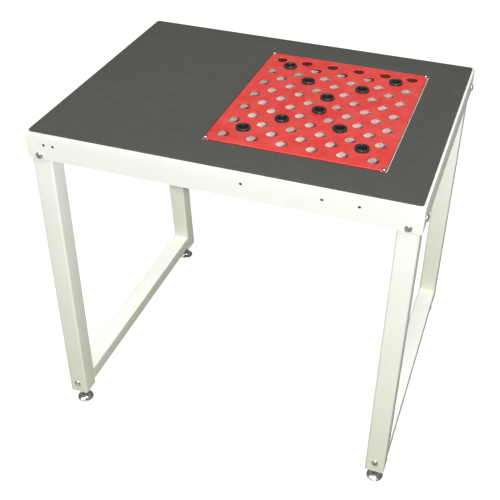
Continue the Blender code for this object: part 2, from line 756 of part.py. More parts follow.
def build_leg_inserts(materials):
    """Plugs in the legs' lower ends, bored for the stems."""
    size = LEG_SIZE - 2 * (LEG_WALL + GAP)
    for end_name, end in ENDS:
        for side_name, side in SIDES:
            name = f"{end_name}_{side_name}_leg_insert"
            shape = box_shape((size, size, INSERT_TOP - LEG_CLEARANCE),
                              (side * LEG_X, 0.0, (INSERT_TOP + LEG_CLEARANCE) / 2))
            lean_with_leg(shape.verts, end)
            insert = add_object(name, shape, materials["plug"])
            y = end * leg_y(LEG_CLEARANCE)
            bore = bmesh.new()
            add_cylinder(bore, STEM_RADIUS + GAP, (side * LEG_X, y, 0.0),
                         (side * LEG_X, y, RAIL_BOLT_BOTTOM), ROUND_SEGMENTS)
            cut(insert, f"{name}_bore", bore)


def build_table():
    clear_scene()
    materials = make_materials()
    build_mat(materials)
    build_deck(materials)
    build_aprons(materials)
    build_legs(materials)
    build_bottom_rails(materials)
    build_top_rails(materials)
    build_cross_rails(materials)
    build_fixture_plate(materials)
    build_tray(materials)
    build_bolts(materials)
    build_corner_screws(materials)
    build_bushings(materials)
    build_feet(materials)
    build_leg_inserts(materials)


build_table()
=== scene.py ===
import math

import bmesh
import bpy
from mathutils import Matrix, Vector


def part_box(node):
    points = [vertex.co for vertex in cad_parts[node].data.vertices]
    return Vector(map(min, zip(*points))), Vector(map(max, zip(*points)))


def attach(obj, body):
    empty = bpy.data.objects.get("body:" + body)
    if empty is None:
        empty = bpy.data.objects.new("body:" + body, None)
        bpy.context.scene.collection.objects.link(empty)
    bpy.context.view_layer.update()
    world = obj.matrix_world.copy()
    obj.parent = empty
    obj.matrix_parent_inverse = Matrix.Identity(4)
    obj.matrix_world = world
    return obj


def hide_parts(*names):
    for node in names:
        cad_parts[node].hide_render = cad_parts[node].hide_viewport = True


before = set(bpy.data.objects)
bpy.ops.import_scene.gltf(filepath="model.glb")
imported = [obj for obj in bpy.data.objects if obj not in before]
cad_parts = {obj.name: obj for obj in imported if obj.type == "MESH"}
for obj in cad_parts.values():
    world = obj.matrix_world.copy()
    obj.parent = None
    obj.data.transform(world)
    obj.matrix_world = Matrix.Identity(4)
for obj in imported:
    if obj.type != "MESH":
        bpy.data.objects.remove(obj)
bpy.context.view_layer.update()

# A welding table in powder-coated sheet steel: a dark work mat, a red perforated plate in a white tray,
# and two bolted side frames on levelling feet. Metres, +Z up, the front faces -Y.

# How the table was made: bends, edges, fits and turned parts
FIT = 0.0003
LEAN = math.radians(3.0)
TUBE_RADIUS = 0.005
TUBE_WALL = 0.0025
RAIL_RADIUS = 0.004
SHEET = 0.002
BEND_RADIUS = 0.0028
FLANGE_WIDTH = 0.025
MAT_CORNER = 0.008
DECK_CORNER = 0.003
HOLE_PITCH = 0.070
HOLE_RADIUS = 0.014
HOLE_COLUMNS = 6
HOLE_ROWS = 7
HOLE_SIDES = 40
HOLE_FLARE = 0.0007
PLATE_SHEET = 0.0025
PLATE_CORNER = 0.0012
PLATE_EDGE = 0.0014
TRAY_WALL = 0.002
TRAY_RIM_DROP = 0.0028
POST_SIZE = 0.012
APRON_HOLE_RADIUS = 0.0034
APRON_HOLE_HEIGHT = 0.827
APRON_HOLE_OFFSETS = (0.045, 0.068, 0.522, 0.703, 0.784)
# How far below the apron's face the dark discs sit that paint shade into its small holes
SHADE_DISC_RECESS = 0.0006
BOLT_HEAD = (0.00875, 0.0052, 0.0034, 0.003)
BOLT_SHANK = 0.005
RAIL_BOLT_LENGTH = 0.066
PLATE_SCREW_HEAD = (0.006, 0.0035, 0.0016, 0.0014)
PLATE_SCREW_SHANK = 0.0025
THREAD_PITCH = 0.00175
THREAD_DEPTH = 0.0009
TURNED_SIDES = 48
FINE_SIDES = 36
BORE_SIDES = 24

# Bushings and levelling feet
BUSHING_WALL = 0.0027
COLLAR_HEIGHT = 0.006
STEM_RADIUS = 0.006
STEM_HEX_RADIUS = 0.0098
STEM_HEX_BOTTOM = 0.015
STEM_HEX_TOP = 0.023
LOCK_NUT_RADIUS = 0.011
PAD_NECK_RADIUS = 0.0105
PAD_NECK_FOOT = 0.0110
PAD_RIM_TOP = 0.0040
PAD_SOCKET_FLOOR = 0.006
SLOPE_STEPS = 10

# Shading angles and the size under which points are one point
SMOOTH_ANGLE = math.radians(35.0)
SOFTEN_ANGLE = math.radians(40.0)
SHARP_FACE_ANGLE = 0.5
SAME_POINT = 1e-6
NEAR = 1e-5

SIDES = (("left", -1), ("right", 1))
ENDS = (("front", -1), ("rear", 1))
CORNERS = [(f"{end_name}_{side_name}", side, end) for end_name, end in ENDS for side_name, side in SIDES]


# ---------------------------------------------------------------- materials: shared effects

def add_node(tree, kind, settings=None, inputs=None):
    """Add a node with its settings, and with inputs that are either values or sockets to link."""
    node = tree.nodes.new(kind)
    for name, value in (settings or {}).items():
        setattr(node, name, value)
    for name, value in (inputs or {}).items():
        if isinstance(value, bpy.types.NodeSocket):
            tree.links.new(value, node.inputs[name])
        else:
            node.inputs[name].default_value = value
    return node


def new_group(name, inputs, outputs):
    """A node group with float inputs (name: default) and outputs (name: socket type)."""
    group = bpy.data.node_groups.new(name, "ShaderNodeTree")
    for socket_name, default in inputs.items():
        socket = group.interface.new_socket(socket_name, in_out="INPUT", socket_type="NodeSocketFloat")
        socket.default_value = default
    for socket_name, kind in outputs.items():
        group.interface.new_socket(socket_name, in_out="OUTPUT", socket_type=kind)
    start = group.nodes.new("NodeGroupInput")
    end = group.nodes.new("NodeGroupOutput")
    return group, start, end


def mix_values(tree, factor, low, high):
    """A value that runs from low to high as the factor runs from 0 to 1."""
    return add_node(tree, "ShaderNodeMapRange", None, {
        "Value": factor, "From Min": 0.0, "From Max": 1.0, "To Min": low, "To Max": high}).outputs["Result"]


def multiply(tree, first, second):
    node = add_node(tree, "ShaderNodeMath", {"operation": "MULTIPLY"})
    for socket, value in zip(node.inputs, (first, second)):
        if isinstance(value, bpy.types.NodeSocket):
            tree.links.new(value, socket)
        else:
            socket.default_value = value
    return node.outputs["Value"]


def make_speckle_group():
    """Even grain: a fine noise stretched to 0..1, and a height from it mixed with a coarser one."""
    group, start, end = new_group("speckle", {"Grains per metre": 900.0, "Contrast": 0.5},
                                  {"Mask": "NodeSocketFloat", "Height": "NodeSocketFloat"})
    place = add_node(group, "ShaderNodeTexCoord").outputs["Object"]
    fine = add_node(group, "ShaderNodeTexNoise", None, {
        "Vector": place, "Scale": start.outputs["Grains per metre"], "Detail": 3.0, "Roughness": 0.6})
    coarse_scale = multiply(group, start.outputs["Grains per metre"], 0.31)
    coarse = add_node(group, "ShaderNodeTexNoise", None, {
        "Vector": place, "Scale": coarse_scale, "Detail": 2.0, "Roughness": 0.5})
    low = add_node(group, "ShaderNodeMath", {"operation": "SUBTRACT"})
    low.inputs[0].default_value = 0.5
    half = multiply(group, start.outputs["Contrast"], 0.5)
    group.links.new(half, low.inputs[1])
    high = add_node(group, "ShaderNodeMath", {"operation": "ADD"})
    high.inputs[0].default_value = 0.5
    group.links.new(half, high.inputs[1])
    stretched = add_node(group, "ShaderNodeMapRange", None, {
        "Value": fine.outputs["Fac"], "From Min": low.outputs[0], "From Max": high.outputs[0]})
    group.links.new(stretched.outputs["Result"], end.inputs["Mask"])
    both = add_node(group, "ShaderNodeMath", {"operation": "ADD"})
    group.links.new(fine.outputs["Fac"], both.inputs[0])
    group.links.new(coarse.outputs["Fac"], both.inputs[1])
    group.links.new(multiply(group, both.outputs[0], 0.5), end.inputs["Height"])
    return group


def make_blotch_group():
    """Slow changes over a hand's width, as where a surface was wiped or sprayed unevenly."""
    group, start, end = new_group("blotches", {"Blotches per metre": 9.0, "Distortion": 0.6},
                                  {"Mask": "NodeSocketFloat"})
    place = add_node(group, "ShaderNodeTexCoord").outputs["Object"]
    noise = add_node(group, "ShaderNodeTexNoise", None, {
        "Vector": place, "Scale": start.outputs["Blotches per metre"], "Detail": 4.0,
        "Roughness": 0.55, "Distortion": start.outputs["Distortion"]})
    spread = add_node(group, "ShaderNodeMapRange", {"interpolation_type": "SMOOTHSTEP"}, {
        "Value": noise.outputs["Fac"], "From Min": 0.3, "From Max": 0.7})
    group.links.new(spread.outputs["Result"], end.inputs["Mask"])
    return group


def make_edge_group():
    """A mask on outer edges, broken up by noise, for rubbed paint and bright corners."""
    group, start, end = new_group("edge_rub", {"Edge width": 0.0012, "Breaks per metre": 140.0},
                                  {"Mask": "NodeSocketFloat"})
    rounded = add_node(group, "ShaderNodeBevel", {"samples": 4}, {"Radius": start.outputs["Edge width"]})
    flat = add_node(group, "ShaderNodeNewGeometry").outputs["Normal"]
    facing = add_node(group, "ShaderNodeVectorMath", {"operation": "DOT_PRODUCT"})
    group.links.new(rounded.outputs["Normal"], facing.inputs[0])
    group.links.new(flat, facing.inputs[1])
    edge = add_node(group, "ShaderNodeMapRange", None, {
        "Value": facing.outputs["Value"], "From Min": 0.995, "From Max": 0.85})
    place = add_node(group, "ShaderNodeTexCoord").outputs["Object"]
    noise = add_node(group, "ShaderNodeTexNoise", None, {
        "Vector": place, "Scale": start.outputs["Breaks per metre"], "Detail": 3.0, "Roughness": 0.65})
    broken = add_node(group, "ShaderNodeMapRange", None, {
        "Value": noise.outputs["Fac"], "From Min": 0.46, "From Max": 0.68})
    group.links.new(multiply(group, edge.outputs["Result"], broken.outputs["Result"]), end.inputs["Mask"])
    return group


def make_dust_group():
    """A mask of dust that settles on faces that look up, thicker in some places."""
    group, start, end = new_group("settled_dust", {"Patches per metre": 22.0}, {"Mask": "NodeSocketFloat"})
    normal = add_node(group, "ShaderNodeNewGeometry").outputs["Normal"]
    upward = add_node(group, "ShaderNodeSeparateXYZ", None, {"Vector": normal}).outputs["Z"]
    facing = add_node(group, "ShaderNodeMapRange", None, {"Value": upward, "From Min": 0.4, "From Max": 1.0})
    place = add_node(group, "ShaderNodeTexCoord").outputs["Object"]
    noise = add_node(group, "ShaderNodeTexNoise", None, {
        "Vector": place, "Scale": start.outputs["Patches per metre"], "Detail": 6.0, "Roughness": 0.7})
    patches = add_node(group, "ShaderNodeMapRange", None, {
        "Value": noise.outputs["Fac"], "From Min": 0.4, "From Max": 0.75})
    group.links.new(multiply(group, facing.outputs["Result"], patches.outputs["Result"]), end.inputs["Mask"])
    return group


def make_height_group():
    """How near a point is to the floor, 1 at the floor and 0 at the reach, on faces that don't look up: the
    mask for painted shade and for scuffs near the floor.
    """
    group, start, end = new_group("near_floor", {"Reach": 0.45}, {"Mask": "NodeSocketFloat"})
    place = add_node(group, "ShaderNodeTexCoord").outputs["Object"]
    height = add_node(group, "ShaderNodeSeparateXYZ", None, {"Vector": place}).outputs["Z"]
    near = add_node(group, "ShaderNodeMapRange", None, {
        "Value": height, "From Min": start.outputs["Reach"], "From Max": 0.0})
    normal = add_node(group, "ShaderNodeNewGeometry").outputs["Normal"]
    upward = add_node(group, "ShaderNodeSeparateXYZ", None, {"Vector": normal}).outputs["Z"]
    upright = add_node(group, "ShaderNodeMapRange", None, {"Value": upward, "From Min": 0.9, "From Max": 0.3})
    group.links.new(multiply(group, near.outputs["Result"], upright.outputs["Result"]), end.inputs["Mask"])
    return group


def make_level_group():
    """A mask that is 1 below a level and 0 above it."""
    group, start, end = new_group("below_level", {"Level": 0.5}, {"Mask": "NodeSocketFloat"})
    place = add_node(group, "ShaderNodeTexCoord").outputs["Object"]
    height = add_node(group, "ShaderNodeSeparateXYZ", None, {"Vector": place}).outputs["Z"]
    below = add_node(group, "ShaderNodeMath", {"operation": "LESS_THAN"})
    group.links.new(height, below.inputs[0])
    group.links.new(start.outputs["Level"], below.inputs[1])
    group.links.new(below.outputs["Value"], end.inputs["Mask"])
    return group


GROUPS = {
    "speckle": make_speckle_group(),
    "blotches": make_blotch_group(),
    "edge_rub": make_edge_group(),
    "dust": make_dust_group(),
    "near_floor": make_height_group(),
    "below_level": make_level_group(),
}


def effect(tree, name, **values):
    """Place a shared effect in a material, with its own values."""
    node = tree.nodes.new("ShaderNodeGroup")
    node.node_tree = GROUPS[name]
    for socket_name, value in values.items():
        node.inputs[socket_name.replace("_", " ")].default_value = value
    return node.outputs


def tint(tree, factor, first, second):
    """Mix two colours, each a tuple or a socket, by a mask."""
    node = add_node(tree, "ShaderNodeMix", {"data_type": "RGBA"})
    tree.links.new(factor, node.inputs["Factor"])
    for socket, colour in ((node.inputs[6], first), (node.inputs[7], second)):
        if isinstance(colour, bpy.types.NodeSocket):
            tree.links.new(colour, socket)
        else:
            socket.default_value = (*colour, 1.0)
    return node.outputs[2]


def new_material(name, **constants):
    """A material with a Principled shader whose even values are set on its own sockets."""
    material = bpy.data.materials.new(name)
    material.use_nodes = True
    shader = material.node_tree.nodes["Principled BSDF"]
    for socket_name, value in constants.items():
        shader.inputs[socket_name.replace("_", " ")].default_value = value
    return material, material.node_tree, shader


def add_bump(tree, shader, height, depth, strength=1.0):
    bump = add_node(tree, "ShaderNodeBump", None, {"Strength": strength, "Distance": depth, "Height": height})
    tree.links.new(bump.outputs["Normal"], shader.inputs["Normal"])


# ---------------------------------------------------------------- materials: the table's finishes

def make_white_paint(name, thin, full):
    """Off-white powder coat: orange peel, faint spray blotches, dust above, scuffs near the floor, and
    painted shade that darkens upright faces towards the floor.
    """
    material, tree, shader = new_material(name, Specular_IOR_Level=0.45)
    peel = effect(tree, "speckle", Grains_per_metre=520.0, Contrast=0.5)
    spray = effect(tree, "blotches", Blotches_per_metre=7.0)
    dust = effect(tree, "dust", Patches_per_metre=16.0)
    edge = effect(tree, "edge_rub", Edge_width=0.0010, Breaks_per_metre=60.0)
    low = effect(tree, "near_floor", Reach=0.85)
    scuffs = effect(tree, "blotches", Blotches_per_metre=34.0, Distortion=1.5)
    colour = tint(tree, spray["Mask"], thin, full)
    # Painted shade: upright faces darken towards the floor, where the light falls off; faces that look up
    # keep their colour.
    colour = tint(tree, multiply(tree, low["Mask"], 0.95), colour, (0.600, 0.607, 0.485))
    colour = tint(tree, multiply(tree, dust["Mask"], 0.22), colour, (0.66, 0.64, 0.58))
    worn = multiply(tree, multiply(tree, low["Mask"], scuffs["Mask"]), 0.12)
    colour = tint(tree, worn, colour, (0.46, 0.45, 0.40))
    colour = tint(tree, multiply(tree, edge["Mask"], 0.35), colour, (0.62, 0.61, 0.56))
    tree.links.new(colour, shader.inputs["Base Color"])
    tree.links.new(mix_values(tree, peel["Mask"], 0.36, 0.50), shader.inputs["Roughness"])
    add_bump(tree, shader, peel["Height"], 0.00012, 0.5)
    return material


def make_work_mat():
    """Dark grey mat with a fine pebbled grain, paler where hands and sleeves have polished it."""
    material, tree, shader = new_material("dark_work_mat", Specular_IOR_Level=0.4)
    grain = effect(tree, "speckle", Grains_per_metre=780.0, Contrast=0.42)
    flecks = effect(tree, "speckle", Grains_per_metre=340.0, Contrast=0.34)
    rubbed = effect(tree, "blotches", Blotches_per_metre=4.0)
    dust = effect(tree, "dust", Patches_per_metre=30.0)
    edge = effect(tree, "edge_rub", Edge_width=0.0010, Breaks_per_metre=220.0)
    colour = tint(tree, grain["Mask"], (0.045, 0.046, 0.041), (0.086, 0.087, 0.079))
    colour = tint(tree, multiply(tree, flecks["Mask"], 0.50), colour, (0.052, 0.053, 0.048))
    colour = tint(tree, multiply(tree, rubbed["Mask"], 0.06), colour, (0.090, 0.091, 0.083))
    colour = tint(tree, multiply(tree, dust["Mask"], 0.04), colour, (0.30, 0.29, 0.26))
    colour = tint(tree, multiply(tree, edge["Mask"], 0.45), colour, (0.14, 0.14, 0.13))
    tree.links.new(colour, shader.inputs["Base Color"])
    tree.links.new(mix_values(tree, grain["Mask"], 0.58, 0.76), shader.inputs["Roughness"])
    add_bump(tree, shader, grain["Height"], 0.00035, 0.75)
    return material


def make_red_paint():
    """Satin red paint, rubbed round the rims of the holes, with painted shade underneath: below the sheet's
    underside the plate is coloured dark red.
    """
    material, tree, shader = new_material("red_satin_paint", Specular_IOR_Level=0.55, Coat_Roughness=0.30)
    peel = effect(tree, "speckle", Grains_per_metre=640.0, Contrast=0.5)
    spray = effect(tree, "blotches", Blotches_per_metre=8.0)
    dust = effect(tree, "dust", Patches_per_metre=26.0)
    edge = effect(tree, "edge_rub", Edge_width=0.0011, Breaks_per_metre=90.0)
    under = effect(tree, "below_level", Level=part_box("fixture_plate")[1].z - PLATE_SHEET - 0.0001)
    colour = tint(tree, spray["Mask"], (0.620, 0.032, 0.027), (0.680, 0.045, 0.036))
    colour = tint(tree, multiply(tree, dust["Mask"], 0.16), colour, (0.66, 0.36, 0.33))
    colour = tint(tree, multiply(tree, edge["Mask"], 0.45), colour, (0.70, 0.22, 0.19))
    # Painted shade: the underside and inner skirts, seen through the holes, are coloured dark red.
    colour = tint(tree, under["Mask"], colour, (0.100, 0.009, 0.008))
    tree.links.new(colour, shader.inputs["Base Color"])
    tree.links.new(mix_values(tree, peel["Mask"], 0.34, 0.46), shader.inputs["Roughness"])
    tree.links.new(mix_values(tree, spray["Mask"], 0.15, 0.30), shader.inputs["Coat Weight"])
    add_bump(tree, shader, peel["Height"], 0.00010, 0.5)
    return material


def make_black_bushing():
    """Blackened steel: near black, a little sheen, brighter where the rim has been handled."""
    material, tree, shader = new_material("blackened_steel", Specular_IOR_Level=0.5)
    grain = effect(tree, "speckle", Grains_per_metre=1400.0, Contrast=0.5)
    edge = effect(tree, "edge_rub", Edge_width=0.0024, Breaks_per_metre=320.0)
    oil = effect(tree, "blotches", Blotches_per_metre=60.0)
    colour = tint(tree, grain["Mask"], (0.011, 0.011, 0.011), (0.020, 0.020, 0.021))
    colour = tint(tree, multiply(tree, edge["Mask"], 0.9), colour, (0.58, 0.57, 0.56))
    tree.links.new(colour, shader.inputs["Base Color"])
    tree.links.new(mix_values(tree, oil["Mask"], 0.28, 0.44), shader.inputs["Roughness"])
    tree.links.new(mix_values(tree, edge["Mask"], 0.0, 0.8), shader.inputs["Metallic"])
    add_bump(tree, shader, grain["Height"], 0.00005, 0.5)
    return material


def make_plated_steel():
    """Bright nickel plate with fine turning marks and dulled patches."""
    material, tree, shader = new_material("nickel_plate")
    marks = effect(tree, "speckle", Grains_per_metre=2600.0, Contrast=0.6)
    dulled = effect(tree, "blotches", Blotches_per_metre=90.0, Distortion=1.2)
    edge = effect(tree, "edge_rub", Edge_width=0.0006, Breaks_per_metre=400.0)
    colour = tint(tree, dulled["Mask"], (0.66, 0.66, 0.65), (0.80, 0.80, 0.79))
    colour = tint(tree, multiply(tree, edge["Mask"], 0.5), colour, (0.90, 0.90, 0.88))
    tree.links.new(colour, shader.inputs["Base Color"])
    tree.links.new(mix_values(tree, dulled["Mask"], 0.24, 0.12), shader.inputs["Roughness"])
    tree.links.new(mix_values(tree, marks["Mask"], 0.97, 1.0), shader.inputs["Metallic"])
    add_bump(tree, shader, marks["Height"], 0.00002, 0.4)
    return material


def make_dark_steel():
    """Stem and lock nut: zinc dulled to a dark grey, oily in the threads."""
    material, tree, shader = new_material("dull_zinc_steel")
    marks = effect(tree, "speckle", Grains_per_metre=1800.0, Contrast=0.5)
    oil = effect(tree, "blotches", Blotches_per_metre=110.0, Distortion=1.0)
    edge = effect(tree, "edge_rub", Edge_width=0.0006, Breaks_per_metre=350.0)
    colour = tint(tree, oil["Mask"], (0.20, 0.20, 0.19), (0.40, 0.40, 0.38))
    colour = tint(tree, multiply(tree, edge["Mask"], 0.7), colour, (0.75, 0.75, 0.72))
    tree.links.new(colour, shader.inputs["Base Color"])
    tree.links.new(mix_values(tree, oil["Mask"], 0.26, 0.44), shader.inputs["Roughness"])
    tree.links.new(mix_values(tree, marks["Mask"], 0.85, 1.0), shader.inputs["Metallic"])
    add_bump(tree, shader, marks["Height"], 0.00003, 0.5)
    return material


def make_insert_grey():
    """Cast plug in the leg's end: rough grey with a sandy skin."""
    material, tree, shader = new_material("cast_grey")
    sand = effect(tree, "speckle", Grains_per_metre=1100.0, Contrast=0.45)
    stains = effect(tree, "blotches", Blotches_per_metre=70.0)
    edge = effect(tree, "edge_rub", Edge_width=0.0008, Breaks_per_metre=300.0)
    colour = tint(tree, sand["Mask"], (0.075, 0.075, 0.078), (0.125, 0.125, 0.125))
    colour = tint(tree, multiply(tree, stains["Mask"], 0.35), colour, (0.085, 0.070, 0.055))
    colour = tint(tree, multiply(tree, edge["Mask"], 0.6), colour, (0.30, 0.29, 0.28))
    tree.links.new(colour, shader.inputs["Base Color"])
    tree.links.new(mix_values(tree, sand["Mask"], 0.50, 0.70), shader.inputs["Roughness"])
    tree.links.new(mix_values(tree, edge["Mask"], 0.25, 0.9), shader.inputs["Metallic"])
    add_bump(tree, shader, sand["Height"], 0.00012, 0.7)
    return material


WHITE = make_white_paint("white_powder_coat", (0.835, 0.850, 0.790), (0.860, 0.875, 0.825))
TRAY_WHITE = make_white_paint("tray_enamel", (0.940, 0.900, 0.820), (0.970, 0.930, 0.860))
MAT = make_work_mat()
RED = make_red_paint()
BLACK = make_black_bushing()
PLATED = make_plated_steel()
DARK_STEEL = make_dark_steel()
CAST = make_insert_grey()


# ---------------------------------------------------------------- mesh work

def add_box(shape, low, high):
    """Add a box between two corners and return its vertices."""
    low = Vector(low)
    high = Vector(high)
    box = bmesh.ops.create_cube(shape, size=1.0)["verts"]
    bmesh.ops.scale(shape, vec=high - low, verts=box)
    bmesh.ops.translate(shape, vec=(low + high) / 2, verts=box)
    return box


def box_shape(low, high):
    shape = bmesh.new()
    add_box(shape, low, high)
    return shape


def add_cylinder(shape, radius, start, end, sides):
    start = Vector(start)
    end = Vector(end)
    turn = (end - start).to_track_quat("Z", "Y").to_matrix().to_4x4()
    bmesh.ops.create_cone(shape, cap_ends=True, segments=sides, radius1=radius, radius2=radius,
                          depth=(end - start).length, matrix=Matrix.Translation((start + end) / 2) @ turn)


def bevel(shape, edges, radius, segments):
    bmesh.ops.bevel(shape, geom=edges, offset=radius, segments=segments, profile=0.5,
                    affect="EDGES", material=-1)


def edges_along(shape, axis, where=None):
    """Edges that run along one axis, and whose middle passes a test."""
    found = []
    for edge in shape.edges:
        along = edge.verts[1].co - edge.verts[0].co
        middle = (edge.verts[1].co + edge.verts[0].co) / 2
        if abs(along[axis]) > 0.99 * along.length and (where is None or where(middle)):
            found.append(edge)
    return found


def top_rim(shape, top):
    """The sharp edges at a height: the rim of a block's upper face."""
    return [edge for edge in shape.edges
            if min(vertex.co.z for vertex in edge.verts) > top - NEAR
            and edge.calc_face_angle() > SHARP_FACE_ANGLE]


def turned_shape(profile, sides, closed=False):
    """Spin a profile of (radius, height) points about Z. A closed one is the section of a ring."""
    shape = bmesh.new()
    points = [shape.verts.new((radius, 0.0, height)) for radius, height in profile]
    edges = [shape.edges.new(pair) for pair in zip(points, points[1:])]
    if closed:
        edges.append(shape.edges.new((points[-1], points[0])))
    bmesh.ops.spin(shape, geom=points + edges, cent=(0.0, 0.0, 0.0), axis=(0.0, 0.0, 1.0),
                   angle=2.0 * math.pi, steps=sides, use_merge=True)
    bmesh.ops.remove_doubles(shape, verts=shape.verts, dist=SAME_POINT)
    bmesh.ops.recalc_face_normals(shape, faces=shape.faces)
    return shape


def arc(centre, radius, start, end, steps):
    """Points of an arc in a profile, from a start to an end angle in degrees."""
    points = []
    for step in range(steps + 1):
        angle = math.radians(start + (end - start) * step / steps)
        points.append((centre[0] + radius * math.cos(angle), centre[1] + radius * math.sin(angle)))
    return points


def mesh_object(name, shape):
    mesh = bpy.data.meshes.new(name)
    bmesh.ops.recalc_face_normals(shape, faces=shape.faces)
    shape.to_mesh(mesh)
    shape.free()
    made = bpy.data.objects.new(name, mesh)
    bpy.context.scene.collection.objects.link(made)
    return made


def combine(shape, other, operation):
    """Cut, join or intersect one closed shape with another, and return the result."""
    first = mesh_object("first", shape)
    second = mesh_object("second", other)
    modifier = first.modifiers.new("combine", "BOOLEAN")
    modifier.operation = operation
    modifier.solver = "MANIFOLD"
    modifier.object = second
    result = bmesh.new()
    result.from_object(first, bpy.context.evaluated_depsgraph_get())
    for used in (first, second):
        mesh = used.data
        bpy.data.objects.remove(used, do_unlink=True)
        bpy.data.meshes.remove(mesh)
    bmesh.ops.remove_doubles(result, verts=result.verts, dist=SAME_POINT)
    return result


def cut(shape, cutter):
    return combine(shape, cutter, "DIFFERENCE")


def join(shape, other):
    return combine(shape, other, "UNION")


def common(shape, other):
    return combine(shape, other, "INTERSECT")


def finish_piece(name, shape, material, body, replaced, edge):
    """Make the piece: shade it, soften its sharp edges if an edge width is given, and hang it on its body."""
    piece = mesh_object(name, shape)
    piece.data.materials.append(material)
    piece.data.shade_smooth()
    piece.data.set_sharp_from_angle(angle=SMOOTH_ANGLE)
    if edge:
        softened = piece.modifiers.new("softened_edges", "BEVEL")
        softened.width = edge
        softened.segments = 2
        softened.limit_method = "ANGLE"
        softened.angle_limit = SOFTEN_ANGLE
        softened.harden_normals = True
        softened.use_clamp_overlap = True
        softened.miter_outer = "MITER_ARC"
    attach(piece, body)
    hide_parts(replaced)
    return piece


def lean_out(vertices, end, at_floor):
    """Shear points so that upright walls follow the legs, whose middle is at_floor out at Z = 0."""
    for vertex in vertices:
        vertex.co.y += end * (at_floor - math.tan(LEAN) * vertex.co.z)


def leg_line(corner, end):
    """How far out a leg's middle line would meet the floor, from the leg's own box."""
    low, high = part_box(f"{corner}_leg")
    outer_face = max(end * low.y, end * high.y)
    width = high.x - low.x
    return outer_face - width / 2 + math.tan(LEAN) * low.z


# ---------------------------------------------------------------- the top

def opening_shape():
    """The hole in deck and mat that the tray hangs in."""
    pan_low, pan_high = tray_pan()
    margin = Vector((FIT, FIT, 0.02))
    return box_shape(pan_low - margin, pan_high + margin)


def tray_pan():
    """The tray's pan without its lip: its lip stands out by the same width all round."""
    low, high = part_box("plate_tray")
    plate_low, plate_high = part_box("fixture_plate")
    wall = Vector((TRAY_WALL + FIT, TRAY_WALL + FIT, 0.0))
    pan_low = Vector((plate_low.x, plate_low.y, low.z)) - wall
    pan_high = Vector((plate_high.x, plate_high.y, high.z)) + wall
    return pan_low, pan_high


def make_sheet(name, node, corner_radius, top_radius, material):
    low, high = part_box(node)
    shape = box_shape(low, high)
    bevel(shape, edges_along(shape, 2), corner_radius, 8)
    bevel(shape, top_rim(shape, high.z), top_radius, 4)
    finish_piece(name, cut(shape, opening_shape()), material, "table", node, edge=0.0003)


def apron_section(length, height, depth, mitre):
    """A folded panel along X with its face on Y = 0, its top at Z = 0 and its flange pointing to +Y."""
    shape = bmesh.new()
    outline = ((0.0, -height), (0.0, 0.0), (depth, 0.0), (depth, -SHEET), (SHEET, -SHEET), (SHEET, -height))
    face = shape.faces.new([shape.verts.new((-length / 2, y, z)) for y, z in outline])
    made = bmesh.ops.extrude_face_region(shape, geom=[face], use_keep_orig=True)
    moved = [item for item in made["geom"] if isinstance(item, bmesh.types.BMVert)]
    bmesh.ops.translate(shape, vec=(length, 0.0, 0.0), verts=moved)
    bmesh.ops.recalc_face_normals(shape, faces=shape.faces)
    bend_outside = edges_along(shape, 0, lambda middle: abs(middle.y) < NEAR and abs(middle.z) < NEAR)
    bevel(shape, bend_outside, BEND_RADIUS, 6)
    bend_inside = edges_along(
        shape, 0, lambda middle: abs(middle.y - SHEET) < NEAR and abs(middle.z + SHEET) < NEAR)
    bevel(shape, bend_inside, BEND_RADIUS - SHEET, 3)
    for vertex in shape.verts:
        if vertex.co.z > -SHEET - NEAR and vertex.co.y > BEND_RADIUS:
            inward = mitre + vertex.co.y - SHEET
            vertex.co.x -= math.copysign(inward, vertex.co.x)
    return shape


def make_aprons():
    for end_name, end in ENDS:
        low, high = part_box(f"{end_name}_apron")
        shape = apron_section(high.x - low.x, high.z - low.z, FLANGE_WIDTH, SHEET + FIT)
        place_apron(shape, high.y if end > 0 else -low.y, high.z, math.pi if end > 0 else 0.0)
        holes = bmesh.new()
        for corner, _, corner_end in CORNERS:
            if corner_end == end:
                add_bolt_bore(holes, f"{corner}_apron_bolt", 1)
        shape = cut(shape, holes)
        if end < 0:
            shape = cut(shape, front_hole_rods(APRON_HOLE_RADIUS, low.y - SHEET, low.y + 2 * SHEET))
        finish_piece(f"{end_name}_apron_panel", shape, WHITE, "table",
                     f"{end_name}_apron", edge=0.0004)
    for side_name, side in SIDES:
        low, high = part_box(f"{side_name}_apron")
        shape = apron_section(high.y - low.y, high.z - low.z, FLANGE_WIDTH, FIT)
        place_apron(shape, abs(low.x if side < 0 else high.x), high.z, side * math.pi / 2)
        holes = bmesh.new()
        for corner, corner_side, _ in CORNERS:
            if corner_side == side:
                add_bolt_bore(holes, f"{corner}_side_bolt", 0)
        finish_piece(f"{side_name}_apron_panel", cut(shape, holes), WHITE, "table",
                     f"{side_name}_apron", edge=0.0004)


def front_hole_rods(radius, start, end):
    """Short rods in the places of the small holes along the front apron."""
    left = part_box("front_apron")[0].x
    rods = bmesh.new()
    for offset in APRON_HOLE_OFFSETS:
        add_cylinder(rods, radius, (left + offset, start, APRON_HOLE_HEIGHT),
                     (left + offset, end, APRON_HOLE_HEIGHT), BORE_SIDES)
    return rods


def make_hole_shade_discs():
    """Painted shade: dark discs set a little below the front apron's face in its small holes, standing in for
    the shade inside them.
    """
    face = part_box("front_apron")[0].y
    shade_discs = front_hole_rods(APRON_HOLE_RADIUS - FIT / 2, face + SHADE_DISC_RECESS, face + SHEET)
    finish_piece("front_apron_hole_shade_discs", shade_discs, BLACK, "table", "front_apron",
                 edge=0.0003)


